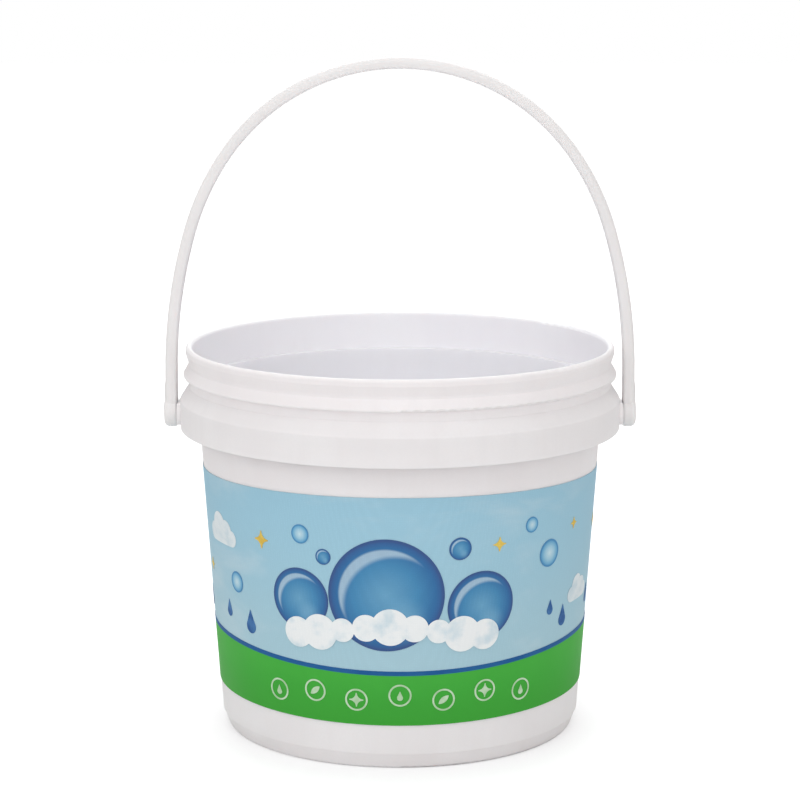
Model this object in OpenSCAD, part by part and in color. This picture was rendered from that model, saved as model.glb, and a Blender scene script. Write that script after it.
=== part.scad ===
/* [Pail body] */
// Height of the pail from the ground to the top of the rim
pail_h = 132.5; // [118:0.5:160]
// Outer radius of the neck
neck_r = 72.4; // [62:0.2:90]
// Outer radius that the tapered wall would have at the ground
foot_r = 61.5; // [54:0.2:66]
// Thickness of the wall, neck, shoulder and skirt
wall = 1.3; // [0.9:0.05:1.6]
// Thickness of the base plate
base_t = 1.6; // [1.2:0.1:2.6]
// Height of the base plate's underside above the ground
base_lift = 2.2; // [1.4:0.1:3.6]
// Radius of the round corner between wall and base inside the pail
inner_corner_r = 4; // [2:0.5:6]

/* [Foot] */
// Height of the chamfered foot
foot_h = 5.4; // [3.6:0.1:8]
// How far the chamfer has gone inward at the ground
foot_inset = 1.25; // [0.4:0.05:2.4]
// Depth of the small step above the chamfer
foot_step = 0.2; // [0.1:0.05:0.6]
// Radius of the rounded edge on the ground
foot_edge_r = 1.5; // [0.6:0.1:1.8]
// Width of the ring that stands on the ground
foot_ring_w = 2; // [1.2:0.1:3]
// Radius of the gate mark in the middle of the base
gate_r = 2.4; // [1.5:0.1:4]
// How far the gate mark stands down from the base
gate_h = 0.7; // [0.3:0.1:1.2]

/* [Rim, bead and ledge] */
// How far the rim stands out from the neck
rim_reach = 1; // [0.5:0.1:2]
// Height of the upright band under the rim's round top
rim_band_h = 1.2; // [0.4:0.1:1.6]
// Height of the taper under the rim
rim_taper_h = 3.2; // [2:0.1:4]
// Distance from the top of the rim down to the middle of the snap bead
bead_drop = 9.8; // [8.8:0.1:10.4]
// How far the snap bead stands out from the neck
bead_reach = 1.8; // [1:0.1:2.6]
// Radius of the bead's crest
bead_crest_r = 0.7; // [0.4:0.05:0.9]
// Height of the bead's lead-in ramp
bead_ramp_h = 3.4; // [1.6:0.1:3.4]
// Distance from the top of the rim down to the ledge inside the neck
ledge_drop = 13.2; // [12.4:0.1:14.4]
// Width of the ledge inside the neck
ledge_w = 2.6; // [1.4:0.1:3.2]

/* [Shoulder and skirt] */
// Distance from the top of the rim down to the start of the shoulder
shoulder_drop = 13.7; // [12:0.1:13.8]
// Height of the sloping shoulder
shoulder_h = 3.9; // [3.4:0.1:5.6]
// How far the skirt stands out from the neck
skirt_reach = 3; // [2.6:0.05:4.5]
// Height of the skirt below the shoulder
skirt_h = 10.6; // [9.6:0.1:14]
// Radius of the edge between shoulder and skirt
skirt_edge_r = 1.2; // [0.5:0.1:1.4]
// Number of webs inside the skirt channel
web_n = 24; // [12:4:36]
// Thickness of a web
web_t = 1; // [0.8:0.1:1.4]
// Distance from the skirt's lower edge up to the webs
web_lift = 2.5; // [1:0.1:4]

/* [Ears] */
// Distance from the top of the rim down to the pivot axis
pivot_drop = 23.8; // [22.8:0.1:24.6]
// Length of an ear pad round the skirt
pad_l = 18; // [14:0.5:20]
// Height of an ear pad
pad_h = 7.4; // [6.8:0.1:7.8]
// How far an ear pad stands out from the skirt
pad_reach = 0.9; // [0.4:0.05:1.2]
// Depth of the flat seat inside the skirt
seat_depth = 0.5; // [0.3:0.05:0.8]

/* [Bail handle] */
// Thickness of the strap
bail_t = 3.9; // [3.4:0.1:5.6]
// How much thicker the round end is than the strap
bail_swell = 0.6; // [0.4:0.05:1.2]
// How far the rounded back of the leg stands out from the strap
back_reach = 0.5; // [0.2:0.05:0.6]
// Height above the pivot at which the rounded back starts to fade
back_h = 8.6; // [7:0.1:8.8]
// Width of the strap
bail_w = 8; // [6.4:0.2:10]
// Radius of the strap's outer edges
bail_outer_edge_r = 1.8; // [1.2:0.1:2.1]
// Radius of the strap's inner edges
bail_inner_edge_r = 1; // [0.5:0.1:1.2]
// Radius of the round end about the pivot
bail_end_r = 5.2; // [4.6:0.1:6]
// Straight length above the pivot
bail_leg = 13.4; // [9:0.2:30]
// How much smaller the crown's radius is than the half span
crown_inset = 6.8; // [6:0.1:9]
// How much larger the radius beside the crown is than the crown's
haunch_extra = 16.6; // [8:0.2:22]
// Radius of the snap pin
pin_r = 2.2; // [1.8:0.05:2.4]
// Radial clearance of the pin in its hole
pin_gap = 0.08; // [0.04:0.01:0.1]
// Gap between ear pad and strap
ear_gap = 0.3; // [0.2:0.05:0.6]
// How far the snap head stands out from the pin
head_reach = 0.8; // [0.4:0.05:1]
// Height of the snap head
head_h = 1.8; // [1.2:0.1:2]
// Gap between the snap head and its seat
head_gap = 0.3; // [0.2:0.05:0.4]

/* [Label] */
// Distance from the ground to the label's lower edge
label_low = 15.6; // [12:0.2:22]
// Distance from the skirt's lower edge down to the label's upper edge
label_gap = 11.2; // [6:0.2:16]
// How much lower the label's upper edge is at the sides than at the front
label_top_bow = 1.5; // [0.6:0.1:2.4]
// How much higher the label's lower edge is at the sides than at the front
label_low_bow = 0.9; // [0.5:0.1:2]
// Thickness of the label film
film_t = 0.15; // [0.1:0.01:0.25]
// Thickness of a printed field
print_t = 0.1; // [0.08:0.01:0.14]
// Gap between two layers
layer_gap = 0.03; // [0.02:0.005:0.04]
// Width of the butt gap at the back
seam_w = 2.4; // [1:0.1:4]

/* [Print] */
// Height of the green band above the label's lower edge, at the front
band_h = 17.2; // [10:0.2:24]
// Width of the blue line above the green band
line_w = 1.5; // [0.8:0.1:3]
// Radius of the curve between sky and band
wave_r = 490; // [300:10:900]
// Distance between the blue line and the middle of the bubble group
bubble_lift = 26; // [24:0.5:30]
// Radius of the largest bubble
bubble_r = 19; // [15:0.5:20]
// Size of one small disc in the foam
foam_r = 5; // [4:0.1:5.6]
// Angle from one disc of the foam to the next
foam_step = 7; // [6:0.5:8]
// Radius of a cloud's largest lobe
cloud_r = 5.2; // [4:0.2:6.4]
// Height of the upper motifs above the middle of the bubble group
upper_row = 14; // [10:0.5:16]
// Depth of the lower motifs below the middle of the bubble group
lower_row = 16; // [13:0.5:17]
// Radius of a drop
drop_r = 2.2; // [1.4:0.1:2.6]
// Length of a sparkle's rays
sparkle_r = 3; // [2:0.1:3.6]
// Radius of a ring on the green band
ring_r = 3.8; // [2.6:0.1:4.2]
// Width of the line of a ring
ring_w = 0.6; // [0.4:0.05:0.8]
// Number of rings on the green band
ring_n = 7; // [3:2:9]
// Angle from one ring to the next
ring_step = 13; // [11:0.5:16]

/* [Hidden] */

// Small overshoot that makes cuts run clear of faces
eps = 0.01;
// Large overshoot, for cuts that end in the open
cut_over = 1;
// Facets of a large revolved form
round_fn = 180;
// Facets of a small round form
small_fn = 48;

plastic_white = [0.93, 0.925, 0.92];
label_sky = [0.63, 0.78, 0.85];
band_green = [0.26, 0.62, 0.24];
line_blue = [0.16, 0.43, 0.69];
bubble_blue = [0.15, 0.4, 0.7];
bubble_light = [0.45, 0.72, 0.88];
cloud_white = [0.87, 0.93, 0.96];
sparkle_yellow = [0.93, 0.8, 0.35];
drop_blue = [0.12, 0.32, 0.6];
ring_white = [0.8, 0.92, 0.78];

// Heights and radii of the pail
ledge_z = pail_h - ledge_drop;
bead_z = pail_h - bead_drop;
shoulder_z = pail_h - shoulder_drop;
edge_z = shoulder_z - shoulder_h;
skirt_z = edge_z - skirt_h;
pivot_z = pail_h - pivot_drop;
neck_in_r = neck_r - wall;
rim_r = neck_r + rim_reach;
rim_round = (rim_r - neck_in_r) / 2;
skirt_r = neck_r + skirt_reach;
skirt_in_r = skirt_r - wall;
floor_z = base_lift + base_t;
ground_r = wall_r(0) - foot_inset;

// Ears and handle
pad_x = skirt_r + pad_reach;
seat_x = skirt_in_r - seat_depth;
arm_x = pad_x + ear_gap;
half_span = arm_x + bail_t / 2;
crown_r = half_span - crown_inset;
haunch_r = crown_r + haunch_extra;
// Directions in which the arcs meet: these two have sides of whole numbers, so the ends match exactly
side_end = [24, 7] / 25;
haunch_end = [4, 3] / 5;
// The side arc's radius closes the span: its share of the width is what the other arcs leave
side_r = (half_span - (haunch_end.x * crown_r + (side_end.x - haunch_end.x) * haunch_r)) / (1 - side_end.x);
side_c = [half_span - side_r, 0];
haunch_c = side_c + (side_r - haunch_r) * side_end;
crown_c = haunch_c + (haunch_r - crown_r) * haunch_end;
bore_r = pin_r + pin_gap;
head_x = seat_x - head_gap;

// Label
// Spare height of the shell beyond the label's edges, and length of the bars that cut it
edge_spare = 1;
bar_l = 2 * skirt_r;
label_z0 = label_low;
label_z1 = skirt_z - label_gap;
film_in = layer_gap;
film_out = film_in + film_t;
first_print = film_out + layer_gap;
second_print = first_print + print_t + layer_gap;
band_z = label_z0 + band_h;
wave_z = band_z + wave_r;
bubble_z = band_z + line_w + bubble_lift;

// Motifs: azimuth, height as a share of the row's distance, and share of the motif's size
blue_bubbles = [[-4, 0, 1], [24, -0.3, 0.62], [-30, -0.2, 0.55], [17, 0.95, 0.2], [-22, 0.75, 0.14]];
light_bubbles = [
    [48, 0.65, 0.25], [40, 1.45, 0.14], [-56, -0.2, 0.19], [-29, 1.35, 0.17],
    [96, 0.1, 0.22], [153, -0.7, 0.27], [-96, 0.9, 0.18], [-152, 0.4, 0.24]
];
clouds = [[-64, 1, 1], [67, -0.5, 0.85], [128, 0.7, 1.1], [-126, -0.3, 1]];
drops = [[57, 1, 1], [50, 0.7, 0.7], [-62, 0.9, 0.8], [-50, 1.05, 1.1], [78, 0.85, 0.9], [-84, 1, 1]];
sparkles = [[-43, 1.05, 1], [29, 1.1, 0.8], [60, 1.2, 0.65], [-76, -0.1, 0.7], [82, 0.9, 0.8]];
// Outer radius of the tapered wall at height z
function wall_r(z) = foot_r + (neck_r - ledge_w - foot_r) * z / ledge_z;

// Direction from a circle's centre to where a line from the point (dx, dz) touches it
function touch_a(dx, dz, r) = atan2(dz, dx) - acos(r / norm([dx, dz]));

// Point at radius r and angle a
function polar(r, a) = [r * cos(a), r * sin(a)];

// Half section of the wall and foot, filled to the axis
module wall_half() {
    step_r = wall_r(foot_h) - foot_step;
    edge_x = ground_r - foot_edge_r;
    edge = [edge_x, foot_edge_r] + polar(foot_edge_r, touch_a(step_r - edge_x, foot_h - foot_edge_r, foot_edge_r));
    polygon([
        [0, 0],
        [edge_x, 0],
        [edge_x, foot_edge_r],
        edge,
        [step_r, foot_h],
        [wall_r(foot_h), foot_h],
        [wall_r(ledge_z), ledge_z],
        [0, ledge_z]
    ]);
    translate([edge_x, foot_edge_r])
        circle(r = foot_edge_r, $fn = small_fn);
}

// Half section of the neck with its rim
module rim_half() {
    top_z = pail_h - rim_round;
    band_low_z = top_z - rim_band_h;
    translate([0, ledge_z - wall])
        square([neck_r, top_z - ledge_z + wall]);
    polygon([
        [neck_in_r, top_z],
        [neck_in_r, band_low_z - rim_taper_h],
        [neck_r, band_low_z - rim_taper_h],
        [rim_r, band_low_z],
        [rim_r, top_z]
    ]);
    translate([rim_r - rim_round, top_z])
        circle(r = rim_round, $fn = small_fn);
}

// Half section of the snap bead: a ramp above its crest and a flat underside
module bead_half() {
    crest = [neck_r + bead_reach - bead_crest_r, bead_z];
    start = [neck_r, bead_z + bead_ramp_h];
    touch = crest + polar(bead_crest_r, touch_a(start.x - crest.x, start.y - crest.y, bead_crest_r));
    polygon([
        [neck_in_r, bead_z - bead_crest_r],
        [crest.x, bead_z - bead_crest_r],
        crest,
        touch,
        start,
        [neck_in_r, start.y]
    ]);
    translate(crest)
        circle(r = bead_crest_r, $fn = small_fn);
}

// Half section of the shoulder and skirt, filled to the axis
module skirt_half() {
    edge = [skirt_r - skirt_edge_r, edge_z - skirt_edge_r];
    start = [neck_r, shoulder_z];
    touch = edge + polar(skirt_edge_r, touch_a(start.x - edge.x, start.y - edge.y, skirt_edge_r));
    polygon([
        [0, skirt_z],
        [skirt_r, skirt_z],
        [skirt_r, edge.y],
        edge,
        touch,
        start,
        [0, shoulder_z]
    ]);
    translate(edge)
        circle(r = skirt_edge_r, $fn = small_fn);
}

// Half section of the inside of the pail
module cavity_half() {
    corner_z = floor_z + inner_corner_r;
    corner_x = wall_r(corner_z) - wall - inner_corner_r;
    polygon([
        [0, floor_z],
        [corner_x, floor_z],
        [corner_x, corner_z],
        [wall_r(corner_z) - wall, corner_z],
        [wall_r(ledge_z) - wall, ledge_z],
        [wall_r(ledge_z) - wall, ledge_z + eps],
        [0, ledge_z + eps]
    ]);
    translate([corner_x, corner_z])
        circle(r = inner_corner_r, $fn = small_fn);
    translate([0, ledge_z])
        square([neck_in_r, ledge_drop + eps]);
}

// Half section of the channel between the wall and the skirt
module channel_half() {
    polygon([
        [wall_r(skirt_z - cut_over), skirt_z - cut_over],
        [skirt_in_r, skirt_z - cut_over],
        [skirt_in_r, edge_z - wall],
        [neck_in_r, ledge_z - wall],
        [wall_r(ledge_z - wall), ledge_z - wall]
    ]);
}

// Half section of the hollow under the base
module base_half() {
    hollow_r = ground_r - foot_edge_r - foot_ring_w;
    polygon([
        [0, -eps],
        [hollow_r, -eps],
        [hollow_r - base_lift / 4, base_lift],
        [0, base_lift]
    ]);
}

// Webs that tie the skirt to the wall inside the channel
module webs() {
    for (i = [0:web_n - 1])
        rotate([0, 0, (i + 0.5) * 360 / web_n])
            rotate([90, 0, 0])
                linear_extrude(web_t, center = true)
                    polygon([
                        [wall_r(skirt_z + web_lift) - wall / 2, skirt_z + web_lift],
                        [skirt_in_r + wall / 2, skirt_z + web_lift],
                        [skirt_in_r + wall / 2, edge_z - wall],
                        [neck_in_r, ledge_z - wall / 2],
                        [wall_r(ledge_z - wall) - wall / 2, ledge_z - wall / 2]
                    ]);
}

// One ear pad: a stadium with a flat face outside and a flat seat inside
module ear_pad() {
    translate([seat_x, 0, pivot_z])
        rotate([90, 0, 90])
            linear_extrude(pad_x - seat_x) {
                square([pad_l - pad_h, pad_h], center = true);
                for (side = [-1, 1])
                    translate([side * (pad_l - pad_h) / 2, 0])
                        circle(d = pad_h, $fn = small_fn);
            }
}

// Pivot hole through the ear pad and the skirt
module ear_bore() {
    translate([seat_x - cut_over, 0, pivot_z])
        rotate([0, 90, 0])
            cylinder(r = bore_r, h = pad_x - seat_x + 2 * cut_over, $fn = small_fn);
}

module pail_body() {
    color(plastic_white)
        difference() {
            union() {
                rotate_extrude($fn = round_fn)
                    difference() {
                        union() {
                            wall_half();
                            rim_half();
                            bead_half();
                            skirt_half();
                        }
                        cavity_half();
                        channel_half();
                        base_half();
                    }
                webs();
                translate([0, 0, base_lift - gate_h])
                    cylinder(r = gate_r, h = gate_h + base_t / 2, $fn = small_fn);
                ear_pad();
                mirror([1, 0, 0]) ear_pad();
            }
            ear_bore();
            mirror([1, 0, 0]) ear_bore();
        }
}

// Section of the strap: x runs outward from the inner face, y across the width
module strap_section() {
    hw = bail_w / 2;
    ro = bail_outer_edge_r;
    ri = bail_inner_edge_r;
    translate([ri, -hw])
        square([bail_t - ri - ro, bail_w]);
    translate([0, ri - hw])
        square([ri, bail_w - 2 * ri]);
    translate([bail_t - ro, ro - hw])
        square([ro, bail_w - 2 * ro]);
    for (side = [-1, 1]) {
        translate([ri, side * (hw - ri)])
            circle(r = ri, $fn = small_fn);
        translate([bail_t - ro, side * (hw - ro)])
            circle(r = ro, $fn = small_fn);
    }
}

// Arc of the strap in the XZ plane about centre c, on centre line radius r, between two directions
module strap_arc(c, r, from, to) {
    reach = 4 * side_r;
    translate([c.x, 0, c.y])
        rotate([90, 0, 0])
            intersection() {
                rotate_extrude($fn = round_fn)
                    translate([r - bail_t / 2, 0])
                        strap_section();
                linear_extrude(2 * bail_w, center = true)
                    polygon([[0, 0], reach * from, reach * to]);
            }
}

// Round end of the strap about the pivot axis
module strap_end() {
    t = bail_t + bail_swell;
    ro = bail_outer_edge_r;
    ri = bail_inner_edge_r;
    translate([arm_x, 0, pivot_z])
        rotate([0, 90, 0])
            rotate_extrude($fn = small_fn) {
                square([bail_end_r - ro, t]);
                translate([0, ri])
                    square([bail_end_r, t - ri - ro]);
                square([bail_end_r - ri, ri]);
                translate([bail_end_r - ri, ri])
                    circle(r = ri, $fn = small_fn);
                translate([bail_end_r - ro, t - ro])
                    circle(r = ro, $fn = small_fn);
            }
}

// Rounded back of the straight leg: a rod in the strap that shows at the outer face and fades upward
module leg_back() {
    rod_r = bail_w / 2;
    fade_h = 0.9 * (bail_leg - back_h);
    intersection() {
        translate([arm_x + bail_t + back_reach - rod_r, 0, pivot_z]) {
            cylinder(r = rod_r, h = back_h, $fn = 2 * small_fn);
            translate([0, 0, back_h])
                cylinder(r1 = rod_r, r2 = rod_r - 1.2 * back_reach, h = fade_h, $fn = 2 * small_fn);
        }
        translate([arm_x + bail_t / 2, -bail_w, pivot_z - cut_over])
            cube([bail_t, 2 * bail_w, bail_leg + cut_over]);
    }
}

// Snap pin with its tapered head, pointing inward from the strap
module snap_pin() {
    translate([head_x, 0, pivot_z])
        rotate([0, 90, 0])
            cylinder(r = pin_r, h = arm_x - head_x + bail_t / 2, $fn = small_fn);
    translate([head_x, 0, pivot_z])
        rotate([0, -90, 0])
            cylinder(r1 = pin_r + head_reach, r2 = pin_r - head_reach / 2, h = head_h, $fn = small_fn);
}

// Everything on the +X side of the handle below the crown
module bail_side() {
    translate([0, 0, pivot_z + bail_leg]) {
        strap_arc(side_c, side_r, [1, 0], side_end);
        strap_arc(haunch_c, haunch_r, side_end, haunch_end);
    }
    translate([arm_x, 0, pivot_z])
        linear_extrude(bail_leg)
            strap_section();
    leg_back();
    strap_end();
    snap_pin();
}

module bail_handle() {
    color(plastic_white) {
        translate([0, 0, pivot_z + bail_leg])
            strap_arc([0, crown_c.y], crown_r, haunch_end, [-haunch_end.x, haunch_end.y]);
        bail_side();
        mirror([1, 0, 0]) bail_side();
    }
}

// Conical shell that follows the wall, from offset a to offset b, with the butt gap at the back
module wrap(a, b) {
    z0 = label_z0 - edge_spare;
    z1 = label_z1 + edge_spare;
    difference() {
        rotate_extrude($fn = round_fn)
            polygon([
                [wall_r(z0) + a, z0],
                [wall_r(z0) + b, z0],
                [wall_r(z1) + b, z1],
                [wall_r(z1) + a, z1]
            ]);
        translate([-seam_w / 2, 0, z0 - edge_spare])
            cube([seam_w, bar_l / 2, z1 - z0 + 2 * edge_spare]);
    }
}

// Large round bar along Y, of radius r, with its middle at height z
module long_bar(r, z) {
    translate([0, bar_l / 2, z])
        rotate([90, 0, 0])
            cylinder(r = r, h = bar_l, $fn = 2 * round_fn);
}

// Radius of a bar that is off by bow where the label is widest
function bow_r(z, bow) = pow(wall_r(z), 2) / (2 * bow);

// The shell between the label's lower and upper edge, which both curve a little
module label_sheet(a, b) {
    top_r = bow_r(label_z1, label_top_bow);
    low_r = bow_r(label_z0, label_low_bow);
    intersection() {
        wrap(a, b);
        long_bar(top_r, label_z1 - top_r);
        long_bar(low_r, label_z0 + low_r);
    }
}

// Raises a flat motif through the label at azimuth a and height z
module at_label(a, z) {
    rotate([0, 0, a])
        translate([0, -foot_r / 2, z])
            rotate([90, 0, 0])
                linear_extrude(neck_r)
                    children();
}

// First and second layer of print
module first_layer() {
    intersection() {
        wrap(first_print, first_print + print_t);
        children();
    }
}

module second_layer() {
    intersection() {
        wrap(second_print, second_print + print_t);
        children();
    }
}

// Flat motif: a ring of outer radius r and line width w
module ring_motif(r, w) {
    difference() {
        circle(r = r, $fn = small_fn);
        circle(r = r - w, $fn = small_fn);
    }
}

// Flat motif: a cloud of four lobes on a flat foot
module cloud_motif(r) {
    translate([-0.3 * r, 0.1 * r])
        circle(r = 0.95 * r, $fn = small_fn);
    translate([0.75 * r, -0.05 * r])
        circle(r = 0.72 * r, $fn = small_fn);
    translate([-1.3 * r, -0.4 * r])
        circle(r = 0.6 * r, $fn = small_fn);
    translate([1.45 * r, -0.45 * r])
        circle(r = 0.55 * r, $fn = small_fn);
    translate([-1.3 * r, -r])
        square([2.75 * r, 0.6 * r]);
}

// Flat motif: a star of four slim rays with hollow sides
module sparkle_motif(r) {
    difference() {
        square(2 * r, center = true);
        for (x = [-1, 1], y = [-1, 1])
            translate([x * r, y * r])
                circle(r = 0.92 * r, $fn = small_fn);
    }
}

// Flat motif: a drop that stands on its round end
module drop_motif(r) {
    circle(r = r, $fn = small_fn);
    polygon([
        [-0.9 * r, 0.4 * r],
        [0.9 * r, 0.4 * r],
        [0, 2.4 * r]
    ]);
}

// Flat motif: a leaf between two arcs, of length l and width w
module leaf_motif(l, w) {
    r = (l * l + w * w) / (4 * w);
    intersection() {
        translate([0, r - w / 2])
            circle(r = r, $fn = 2 * small_fn);
        translate([0, w / 2 - r])
            circle(r = r, $fn = 2 * small_fn);
    }
}

module label_film() {
    color(label_sky) label_sheet(film_in, film_out);
}

module print_green_band() {
    color(band_green)
        difference() {
            label_sheet(first_print, first_print + print_t);
            long_bar(wave_r, wave_z);
        }
}

module print_blue_line() {
    color(line_blue)
        first_layer()
            difference() {
                long_bar(wave_r, wave_z);
                long_bar(wave_r - line_w, wave_z);
            }
}

module print_blue_bubbles() {
    color(bubble_blue)
        first_layer()
            for (b = blue_bubbles)
                at_label(b[0], bubble_z + b[1] * lower_row)
                    circle(r = b[2] * bubble_r, $fn = small_fn);
}

module print_light_bubbles() {
    color(bubble_light)
        first_layer()
            for (b = light_bubbles)
                at_label(b[0], bubble_z + b[1] * upper_row)
                    circle(r = b[2] * bubble_r, $fn = small_fn);
}

module print_foam() {
    color("white")
        second_layer()
            for (i = [-4:4])
                at_label((i - 0.4) * foam_step, bubble_z - 0.8 * lower_row + 0.4 * foam_r * cos(i * 40))
                    circle(r = foam_r * (1 + 0.25 * cos(i * 110)), $fn = small_fn);
}

module print_clouds() {
    color(cloud_white)
        first_layer()
            for (c = clouds)
                at_label(c[0], bubble_z + c[1] * upper_row) cloud_motif(c[2] * cloud_r);
}

module print_sparkles() {
    color(sparkle_yellow)
        first_layer()
            for (b = sparkles)
                at_label(b[0], bubble_z + b[1] * upper_row) sparkle_motif(b[2] * sparkle_r);
}

module print_drops() {
    color(drop_blue)
        first_layer()
            for (d = drops)
                at_label(d[0], bubble_z - d[1] * lower_row) drop_motif(d[2] * drop_r);
}

module print_rings() {
    color(ring_white)
        second_layer()
            for (i = [0:ring_n - 1])
                at_label((i - (ring_n - 1) / 2) * ring_step, label_z0 + band_h / 2 + (i % 2) * ring_r / 2) {
                    ring_motif(ring_r, ring_w);
                    if (i % 3 == 0) translate([0, -0.22 * ring_r]) drop_motif(0.26 * ring_r);
                    if (i % 3 == 1) rotate(40) leaf_motif(1.15 * ring_r, 0.5 * ring_r);
                    if (i % 3 == 2) sparkle_motif(0.62 * ring_r);
                }
}

pail_body();
bail_handle();
label_film();
print_green_band();
print_blue_line();
print_blue_bubbles();
print_light_bubbles();
print_foam();
print_clouds();
print_sparkles();
print_drops();
print_rings();
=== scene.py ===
"""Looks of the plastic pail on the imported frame: materials, stage, light and camera."""

import math

import bpy
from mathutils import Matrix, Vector

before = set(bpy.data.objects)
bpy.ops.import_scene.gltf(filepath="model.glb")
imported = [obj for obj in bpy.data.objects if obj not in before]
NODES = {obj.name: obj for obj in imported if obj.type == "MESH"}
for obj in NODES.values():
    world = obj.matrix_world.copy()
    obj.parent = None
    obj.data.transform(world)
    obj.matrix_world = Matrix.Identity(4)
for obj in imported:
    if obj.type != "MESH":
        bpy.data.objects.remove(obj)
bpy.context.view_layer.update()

MM = 0.001


# Small helpers for node trees


def rgb(r, g, b):
    """An 8-bit display colour as linear RGBA."""

    def line(c):
        c /= 255
        return c / 12.92 if c <= 0.04045 else ((c + 0.055) / 1.055) ** 2.4

    return (line(r), line(g), line(b), 1.0)


class Tree:
    """A thin wrapper that adds nodes and links to one material."""

    def __init__(self, name):
        self.mat = bpy.data.materials.new(name)
        self.mat.use_nodes = True
        self.nt = self.mat.node_tree
        self.bsdf = self.nt.nodes["Principled BSDF"]
        coords = self.nt.nodes.new("ShaderNodeTexCoord")
        self.pos = coords.outputs["Object"]

    def put(self, socket, value):
        if isinstance(value, bpy.types.NodeSocket):
            self.nt.links.new(value, socket)
        else:
            socket.default_value = value

    def math(self, op, a, b=0.0):
        n = self.nt.nodes.new("ShaderNodeMath")
        n.operation = op
        self.put(n.inputs[0], a)
        self.put(n.inputs[1], b)
        return n.outputs[0]

    def vmath(self, op, a, b=(0.0, 0.0, 0.0), out="Vector"):
        n = self.nt.nodes.new("ShaderNodeVectorMath")
        n.operation = op
        self.put(n.inputs[0], a)
        self.put(n.inputs[1], b)
        return n.outputs[out]

    def xyz(self):
        n = self.nt.nodes.new("ShaderNodeSeparateXYZ")
        self.put(n.inputs[0], self.pos)
        return n.outputs

    def noise(self, scale, detail=2.0, rough=0.5, vector=None, warp=0.0):
        n = self.nt.nodes.new("ShaderNodeTexNoise")
        self.put(n.inputs["Vector"], self.pos if vector is None else vector)
        n.inputs["Scale"].default_value = scale
        n.inputs["Detail"].default_value = detail
        n.inputs["Roughness"].default_value = rough
        n.inputs["Distortion"].default_value = warp
        return n.outputs["Fac"]

    def cells(self, scale, jitter):
        n = self.nt.nodes.new("ShaderNodeTexVoronoi")
        self.put(n.inputs["Vector"], self.pos)
        n.inputs["Scale"].default_value = scale
        n.inputs["Randomness"].default_value = jitter
        return n.outputs["Distance"]

    def step(self, value, lo, hi, out_lo=0.0, out_hi=1.0):
        """Smooth step of value from lo to hi."""
        n = self.nt.nodes.new("ShaderNodeMapRange")
        n.interpolation_type = "SMOOTHSTEP"
        self.put(n.inputs["Value"], value)
        n.inputs["From Min"].default_value = lo
        n.inputs["From Max"].default_value = hi
        n.inputs["To Min"].default_value = out_lo
        n.inputs["To Max"].default_value = out_hi
        return n.outputs["Result"]

    def mix(self, fac, a, b):
        n = self.nt.nodes.new("ShaderNodeMix")
        n.data_type = "RGBA"
        n.clamp_factor = True
        self.put(n.inputs[0], fac)
        self.put(n.inputs[6], a)
        self.put(n.inputs[7], b)
        return n.outputs[2]

    def ramp(self, value, stops):
        n = self.nt.nodes.new("ShaderNodeValToRGB")
        self.put(n.inputs["Fac"], value)
        cr = n.color_ramp
        while len(cr.elements) < len(stops):
            cr.elements.new(0.5)
        for e, (at, colour) in zip(cr.elements, stops):
            e.position = at
            e.color = colour
        return n.outputs["Color"]

    def bump(self, height, distance, strength, normal=None):
        n = self.nt.nodes.new("ShaderNodeBump")
        self.put(n.inputs["Height"], height)
        n.inputs["Distance"].default_value = distance
        n.inputs["Strength"].default_value = strength
        if normal is not None:
            self.put(n.inputs["Normal"], normal)
        return n.outputs["Normal"]

    def disc(self, azimuth, z, r):
        """Distance from a motif's middle over its radius: 0 in the middle, 1 on its edge."""
        a = math.radians(azimuth)
        across = self.vmath("DOT_PRODUCT", self.pos, (math.cos(a), math.sin(a), 0), "Value")
        up = self.math("SUBTRACT", self.xyz()[2], z * MM)
        return self.math("DIVIDE", self.hypot(across, up), r * MM)

    def hypot(self, a, b):
        aa, bb = self.math("MULTIPLY", a, a), self.math("MULTIPLY", b, b)
        return self.math("SQRT", self.math("ADD", aa, bb))

    def dress(self, name):
        for s in NODES[name].material_slots:
            s.material = self.mat


# White polypropylene, as moulded

NECK_R = 72.4 * MM  # the neck's outer wall
NECK_BLEND = 0.8 * MM  # the painted light inside the wall fades out over this depth
ARCH_Z = 0.15  # middle of the bail's arch
STREAKS = (150, 150, 9)  # noise scales: fine across the flow, long along it


def painted_inside_light_mask(t):
    """1 on surfaces inside the pail's wall, where the plastic gets painted light, 0 on the others.
    """
    coords = t.nt.nodes.new("ShaderNodeTexCoord")
    flat = t.vmath("MULTIPLY", t.pos, (1, 1, 0))
    radius = t.vmath("LENGTH", flat, out="Value")
    facing = t.vmath("DOT_PRODUCT", t.vmath("NORMALIZE", flat), coords.outputs["Normal"], "Value")
    deep = t.step(radius, NECK_R, NECK_R - NECK_BLEND)
    return t.math("MULTIPLY", deep, t.step(facing, 0.3, -0.1))


def down_the_wall(t):
    """Coordinates whose long side runs down the pail."""
    return t.vmath("MULTIPLY", t.pos, STREAKS)


def along_the_arch(t):
    """Coordinates whose long side runs along the bail, over the top from end to end."""
    x, y, z = t.xyz()
    rise = t.math("MAXIMUM", t.math("SUBTRACT", z, ARCH_Z), 0.0)
    n = t.nt.nodes.new("ShaderNodeCombineXYZ")
    for socket, value, scale in zip(n.inputs, (t.hypot(x, rise), y, z), STREAKS):
        t.put(socket, t.math("MULTIPLY", value, scale))
    return n.outputs[0]


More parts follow.
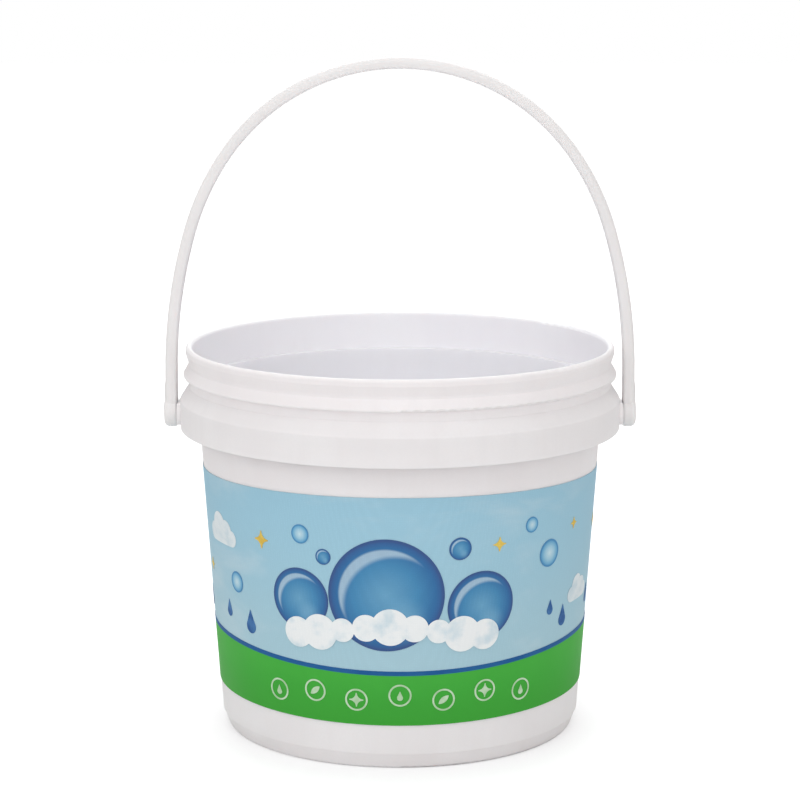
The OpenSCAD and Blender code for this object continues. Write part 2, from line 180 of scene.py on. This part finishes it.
def plastic(name, light, shade, flow, rough, grain_depth, inside=None):
    """Satin white plastic: soft mottling, flow streaks and fine grain, with light in its depth.
    Given inside colours, surfaces inside the wall take them: painted light, lighter and bluer than
    outside.
    """
    t = Tree(name)
    mottle = t.noise(30.0, 3.0, 0.5)
    streaks = t.noise(1.0, 3.0, 0.6, vector=flow(t))
    grain = t.noise(1300.0, 2.0, 0.6)
    # painted light: inside the wall the plastic is lighter and bluer, standing in for light
    # through the wall and between the inside walls
    if inside:
        light, shade = (t.mix(painted_inside_light_mask(t), a, b) for a, b in zip((light, shade), inside))
    body = t.mix(t.step(mottle, 0.3, 0.7, 0.0, 0.5), light, shade)
    body = t.mix(t.step(streaks, 0.42, 0.75, 0.0, 0.3), body, shade)
    body = t.mix(t.step(grain, 0.35, 0.65, 0.0, 0.15), body, shade)
    t.put(t.bsdf.inputs["Base Color"], body)
    patches = t.step(mottle, 0.3, 0.7, rough - 0.03, rough + 0.03)
    specks = t.step(grain, 0.3, 0.7, -0.02, 0.02)
    t.put(t.bsdf.inputs["Roughness"], t.math("ADD", patches, specks))
    t.bsdf.inputs["IOR"].default_value = 1.49
    t.bsdf.inputs["Specular IOR Level"].default_value = 0.3
    t.bsdf.inputs["Subsurface Weight"].default_value = 0.6
    t.bsdf.inputs["Subsurface Radius"].default_value = (1.0, 0.94, 0.92)
    t.bsdf.inputs["Subsurface Scale"].default_value = 0.002
    fine = t.bump(grain, grain_depth, 0.3)
    t.put(t.bsdf.inputs["Normal"], t.bump(streaks, 0.00008, 0.25, fine))
    return t


pail = plastic(
    "pail_plastic",
    light=rgb(241, 238, 239),
    shade=rgb(234, 230, 231),
    flow=down_the_wall,
    rough=0.44,
    grain_depth=0.01 * MM,
    # painted light: the inside of the wall is painted lighter and bluer
    inside=(rgb(247, 246, 251), rgb(243, 242, 247)),
)
pail.dress("pail_body")
bail = plastic(
    "bail_plastic",
    light=rgb(238, 236, 236),
    shade=rgb(231, 229, 229),
    flow=along_the_arch,
    rough=0.52,
    grain_depth=0.004 * MM,
)
bail.dress("bail_handle")


# Printed film

DOTS = 1700.0  # scale of the print's screen dots


def film(name, rough=0.5):
    """Satin film: returns the tree and a function that prints a colour on it."""
    t = Tree(name)
    dots = t.cells(DOTS, jitter=0.25)
    ripple = t.noise(26.0, 2.0, 0.5)

    def ink(colour, dark=0.06):
        spread = t.mix(t.step(dots, 0.15, 0.5, 0.0, dark), colour, rgb(40, 60, 80))
        t.put(t.bsdf.inputs["Base Color"], spread)
        t.put(t.bsdf.inputs["Roughness"], t.step(ripple, 0.3, 0.7, rough - 0.04, rough + 0.05))
        fine = t.bump(dots, 0.000008, 0.35)
        t.put(t.bsdf.inputs["Normal"], t.bump(ripple, 0.0003, 0.25, fine))

    t.bsdf.inputs["IOR"].default_value = 1.47
    t.bsdf.inputs["Specular IOR Level"].default_value = 0.12
    return t, ink


# Heights of the sky and of the green band on the label, lower edge and upper edge
SKY_Z = (30.0 * MM, 94.0 * MM)
BAND_Z = (15.6 * MM, 36.0 * MM)

# Sky field: paler towards the horizon, with soft haze
t, ink = film("film_sky")
sky = t.ramp(
    t.step(t.xyz()[2], *SKY_Z),
    [(0.0, rgb(176, 211, 224)), (0.45, rgb(168, 208, 225)), (1.0, rgb(163, 207, 227))],
)
haze = t.noise(1.0, 4.0, 0.55, vector=t.vmath("MULTIPLY", t.pos, (26.0, 26.0, 60.0)), warp=0.4)
ink(t.mix(t.step(haze, 0.48, 0.78, 0.0, 0.45), sky, rgb(208, 226, 234)), 0.05)
t.dress("label_film")

# Green band: a little deeper towards its lower edge
t, ink = film("film_green")
green = t.ramp(
    t.step(t.xyz()[2], *BAND_Z),
    [(0.0, rgb(66, 168, 58)), (0.6, rgb(70, 176, 64)), (1.0, rgb(75, 181, 68))],
)
ink(t.mix(t.step(t.noise(60.0, 3.0, 0.6), 0.35, 0.7, 0.0, 0.25), green, rgb(64, 167, 58)), 0.03)
t.dress("print_green_band")

# Blue line
t, ink = film("film_line")
ink(t.mix(t.step(t.noise(90.0, 3.0, 0.6), 0.3, 0.7), rgb(34, 92, 154), rgb(44, 102, 160)))
t.dress("print_blue_line")

# Large bubbles: light in the middle, deep towards the edge, dark outline, bright crescent.
# Measures in mm, as in the part's source.
BUBBLE_Z = 60.3
BUBBLE_R = 19.0
UPPER_ROW = 14.0
LOWER_ROW = 16.0
WALL_R = 66.0
OUTLINE = rgb(66, 94, 146)
t, ink = film("film_bubble", 0.42)


def bubble(t, azimuth, z, r):
    """Distance over radius, and colour, of one bubble. Its crescent and glow are off centre."""

    def aside(share):
        return azimuth + math.degrees(share * r / WALL_R)

    d = t.disc(azimuth, z, r)
    body = t.ramp(
        d,
        [
            (0.0, rgb(112, 170, 206)),
            (0.55, rgb(78, 144, 190)),
            (0.85, rgb(60, 116, 170)),
            (0.935, rgb(62, 104, 160)),
            (0.965, OUTLINE),
            (1.0, OUTLINE),
        ],
    )
    shine_in = t.disc(azimuth, z, r * 0.84)
    shine_out = t.disc(aside(0.16), z - 0.2 * r, r * 0.86)
    crescent = t.math("MULTIPLY", t.step(shine_in, 1.0, 0.94), t.step(shine_out, 0.97, 1.1))
    body = t.mix(t.math("MULTIPLY", crescent, 0.6), body, rgb(206, 230, 242))
    glow = t.disc(aside(0.3), z - 0.45 * r, r * 0.5)
    return d, t.mix(t.step(glow, 1.0, 0.1, 0.0, 0.4), body, rgb(150, 200, 226))


# Azimuth in degrees, height as a share of a row, radius as a share of the largest bubble's
colour = OUTLINE
for azimuth, share, size in (
    (17, 0.95, 0.2),
    (-22, 0.75, 0.14),
    (24, -0.3, 0.62),
    (-30, -0.2, 0.55),
    (-4, 0, 1),
):
    d, one = bubble(t, azimuth, BUBBLE_Z + share * LOWER_ROW, size * BUBBLE_R)
    colour = t.mix(t.math("LESS_THAN", d, 1.0), colour, one)
ink(colour, 0.08)
t.dress("print_blue_bubbles")

# Small light bubbles
t, ink = film("film_light_bubble", 0.42)
d = None
for azimuth, share, size in (
    (48, 0.65, 0.25),
    (40, 1.45, 0.14),
    (-56, -0.2, 0.19),
    (-29, 1.35, 0.17),
    (96, 0.1, 0.22),
    (153, -0.7, 0.27),
    (-96, 0.9, 0.18),
    (-152, 0.4, 0.24),
):
    one = t.disc(azimuth, BUBBLE_Z + share * UPPER_ROW, size * BUBBLE_R)
    d = one if d is None else t.math("MINIMUM", d, one)
ink(
    t.ramp(
        d,
        [
            (0.0, rgb(206, 232, 242)),
            (0.5, rgb(160, 206, 228)),
            (0.8, rgb(112, 176, 214)),
            (0.9, rgb(84, 146, 194)),
            (1.0, rgb(84, 146, 194)),
        ],
    )
)
t.dress("print_light_bubbles")

# Foam: white with pale blue hollows
t, ink = film("film_foam")
puffs = t.noise(150.0, 3.0, 0.5)
ink(t.mix(t.step(puffs, 0.45, 0.75, 0.0, 0.7), rgb(246, 249, 250), rgb(196, 220, 232)), 0.03)
t.dress("print_foam")

# Clouds: white, with hazy patches
t, ink = film("film_cloud")
wisps = t.noise(110.0, 4.0, 0.55, warp=0.3)
ink(t.mix(t.step(wisps, 0.4, 0.72, 0.0, 0.8), rgb(232, 240, 243), rgb(196, 217, 227)), 0.03)
t.dress("print_clouds")

# Sparkles, drops and rings
t, ink = film("film_sparkle")
ink(t.mix(t.step(t.noise(300.0, 2.0), 0.35, 0.65), rgb(238, 208, 104), rgb(226, 190, 84)))
t.dress("print_sparkles")

t, ink = film("film_drop")
ink(t.mix(t.step(t.noise(260.0, 2.0), 0.35, 0.65), rgb(52, 96, 156), rgb(74, 124, 180)))
t.dress("print_drops")

t, ink = film("film_ring")
ink(t.mix(t.step(t.noise(260.0, 2.0), 0.35, 0.65), rgb(206, 232, 200), rgb(180, 216, 172)), 0.04)
t.dress("print_rings")


# Stage: a pale floor that keeps the shadow, with a painted shadow near the foot

FLOOR_HALF = 4.0  # half its side, in metres
FLOOR_LIFT = (0.52, 0.75)  # light added for the camera, near the foot and away from it; less near the foot, a painted shadow
PAINTED_SHADOW_R = (58.0 * MM, 95.0 * MM)  # distances from the middle over which the lift rises and the painted shadow fades out


def stage_floor():
    mesh = bpy.data.meshes.new("stage_floor")
    s = FLOOR_HALF
    mesh.from_pydata([(-s, -s, 0), (s, -s, 0), (s, s, 0), (-s, s, 0)], [], [(0, 1, 2, 3)])
    floor = bpy.data.objects.new("stage_floor", mesh)
    bpy.context.scene.collection.objects.link(floor)
    mat = bpy.data.materials.new("stage_floor")
    mat.use_nodes = True
    nt = mat.node_tree
    nt.nodes.clear()
    out = nt.nodes.new("ShaderNodeOutputMaterial")
    soft = nt.nodes.new("ShaderNodeBsdfDiffuse")
    soft.inputs["Color"].default_value = (0.8, 0.8, 0.8, 1)
    shade = nt.nodes.new("ShaderNodeBsdfDiffuse")
    shade.inputs["Color"].default_value = (0.5, 0.5, 0.505, 1)
    coords = nt.nodes.new("ShaderNodeTexCoord")
    away = nt.nodes.new("ShaderNodeVectorMath")
    away.operation = "LENGTH"
    nt.links.new(coords.outputs["Object"], away.inputs[0])
    # Painted shadow: the light added for the camera is lower near the foot and rises away from it
    rise = nt.nodes.new("ShaderNodeMapRange")
    rise.interpolation_type = "SMOOTHSTEP"
    rise.inputs["From Min"].default_value = PAINTED_SHADOW_R[0]
    rise.inputs["From Max"].default_value = PAINTED_SHADOW_R[1]
    rise.inputs["To Min"].default_value = FLOOR_LIFT[0]
    rise.inputs["To Max"].default_value = FLOOR_LIFT[1]
    nt.links.new(away.outputs["Value"], rise.inputs["Value"])
    lift = nt.nodes.new("ShaderNodeEmission")
    nt.links.new(rise.outputs["Result"], lift.inputs["Strength"])
    add = nt.nodes.new("ShaderNodeAddShader")
    nt.links.new(shade.outputs[0], add.inputs[0])
    nt.links.new(lift.outputs[0], add.inputs[1])
    path = nt.nodes.new("ShaderNodeLightPath")
    pick = nt.nodes.new("ShaderNodeMixShader")
    nt.links.new(path.outputs["Is Camera Ray"], pick.inputs["Fac"])
    nt.links.new(soft.outputs[0], pick.inputs[1])
    nt.links.new(add.outputs[0], pick.inputs[2])
    nt.links.new(pick.outputs[0], out.inputs["Surface"])
    mesh.materials.append(mat)


stage_floor()


# World: even light, white where the camera or a reflection sees it

world = bpy.data.worlds.new("studio")
bpy.context.scene.world = world
world.use_nodes = True
nt = world.node_tree
nt.nodes.clear()
out = nt.nodes.new("ShaderNodeOutputWorld")
pick = nt.nodes.new("ShaderNodeMixShader")
even = nt.nodes.new("ShaderNodeBackground")
even.inputs["Color"].default_value = (1.0, 0.975, 0.96, 1)
even.inputs["Strength"].default_value = 0.58
white = nt.nodes.new("ShaderNodeBackground")
white.inputs["Color"].default_value = (1.0, 1.0, 1.0, 1)
white.inputs["Strength"].default_value = 1.0
path = nt.nodes.new("ShaderNodeLightPath")
seen = path.outputs["Is Camera Ray"]
for ray in ("Is Transmission Ray", "Is Glossy Ray"):
    either = nt.nodes.new("ShaderNodeMath")
    either.operation = "MAXIMUM"
    nt.links.new(seen, either.inputs[0])
    nt.links.new(path.outputs[ray], either.inputs[1])
    seen = either.outputs[0]
nt.links.new(seen, pick.inputs["Fac"])
nt.links.new(even.outputs[0], pick.inputs[1])
nt.links.new(white.outputs[0], pick.inputs[2])
nt.links.new(pick.outputs[0], out.inputs["Surface"])


# Lamps, all aimed at the pail

AIM = Vector((0, 0, 0.1))
COOL = (0.97, 0.99, 1.0)


def lamp(name, place, size, power, colour=(1, 1, 1)):
    data = bpy.data.lights.new(name, "AREA")
    data.shape = "DISK"
    data.size = size
    data.energy = power
    data.color = colour
    o = bpy.data.objects.new(name, data)
    bpy.context.scene.collection.objects.link(o)
    o.location = place
    o.rotation_euler = (AIM - Vector(place)).to_track_quat("-Z", "Y").to_euler()


lamp("key", (-1.2, -1.1, 1.1), 1.1, 3.7, (0.96, 0.99, 1.0))
lamp("front", (0, -0.8, 1.5), 1.2, 5.4, COOL)
lamp("low", (0.25, -1.7, 0.5), 1.2, 4.2)
lamp("back", (0, 1.0, 1.3), 1.2, 11.0, COOL)


# Camera: the photograph's viewing angle, found by a fit to the ellipses of the rings

CAMERA_AT = (0.0, -0.9, 0.27885)
CAMERA_TILT = 79.534
LENS, SENSOR = 119.56, 36.0

scene = bpy.context.scene
cam = bpy.data.cameras.new("camera")
cam.sensor_width = SENSOR
cam.lens = LENS
cam_o = bpy.data.objects.new("camera", cam)
scene.collection.objects.link(cam_o)
cam_o.location = CAMERA_AT
cam_o.rotation_euler = (math.radians(CAMERA_TILT), 0.0, 0.0)
scene.camera = cam_o
scene.view_settings.view_transform = "Standard"

bpy.context.view_layer.update()
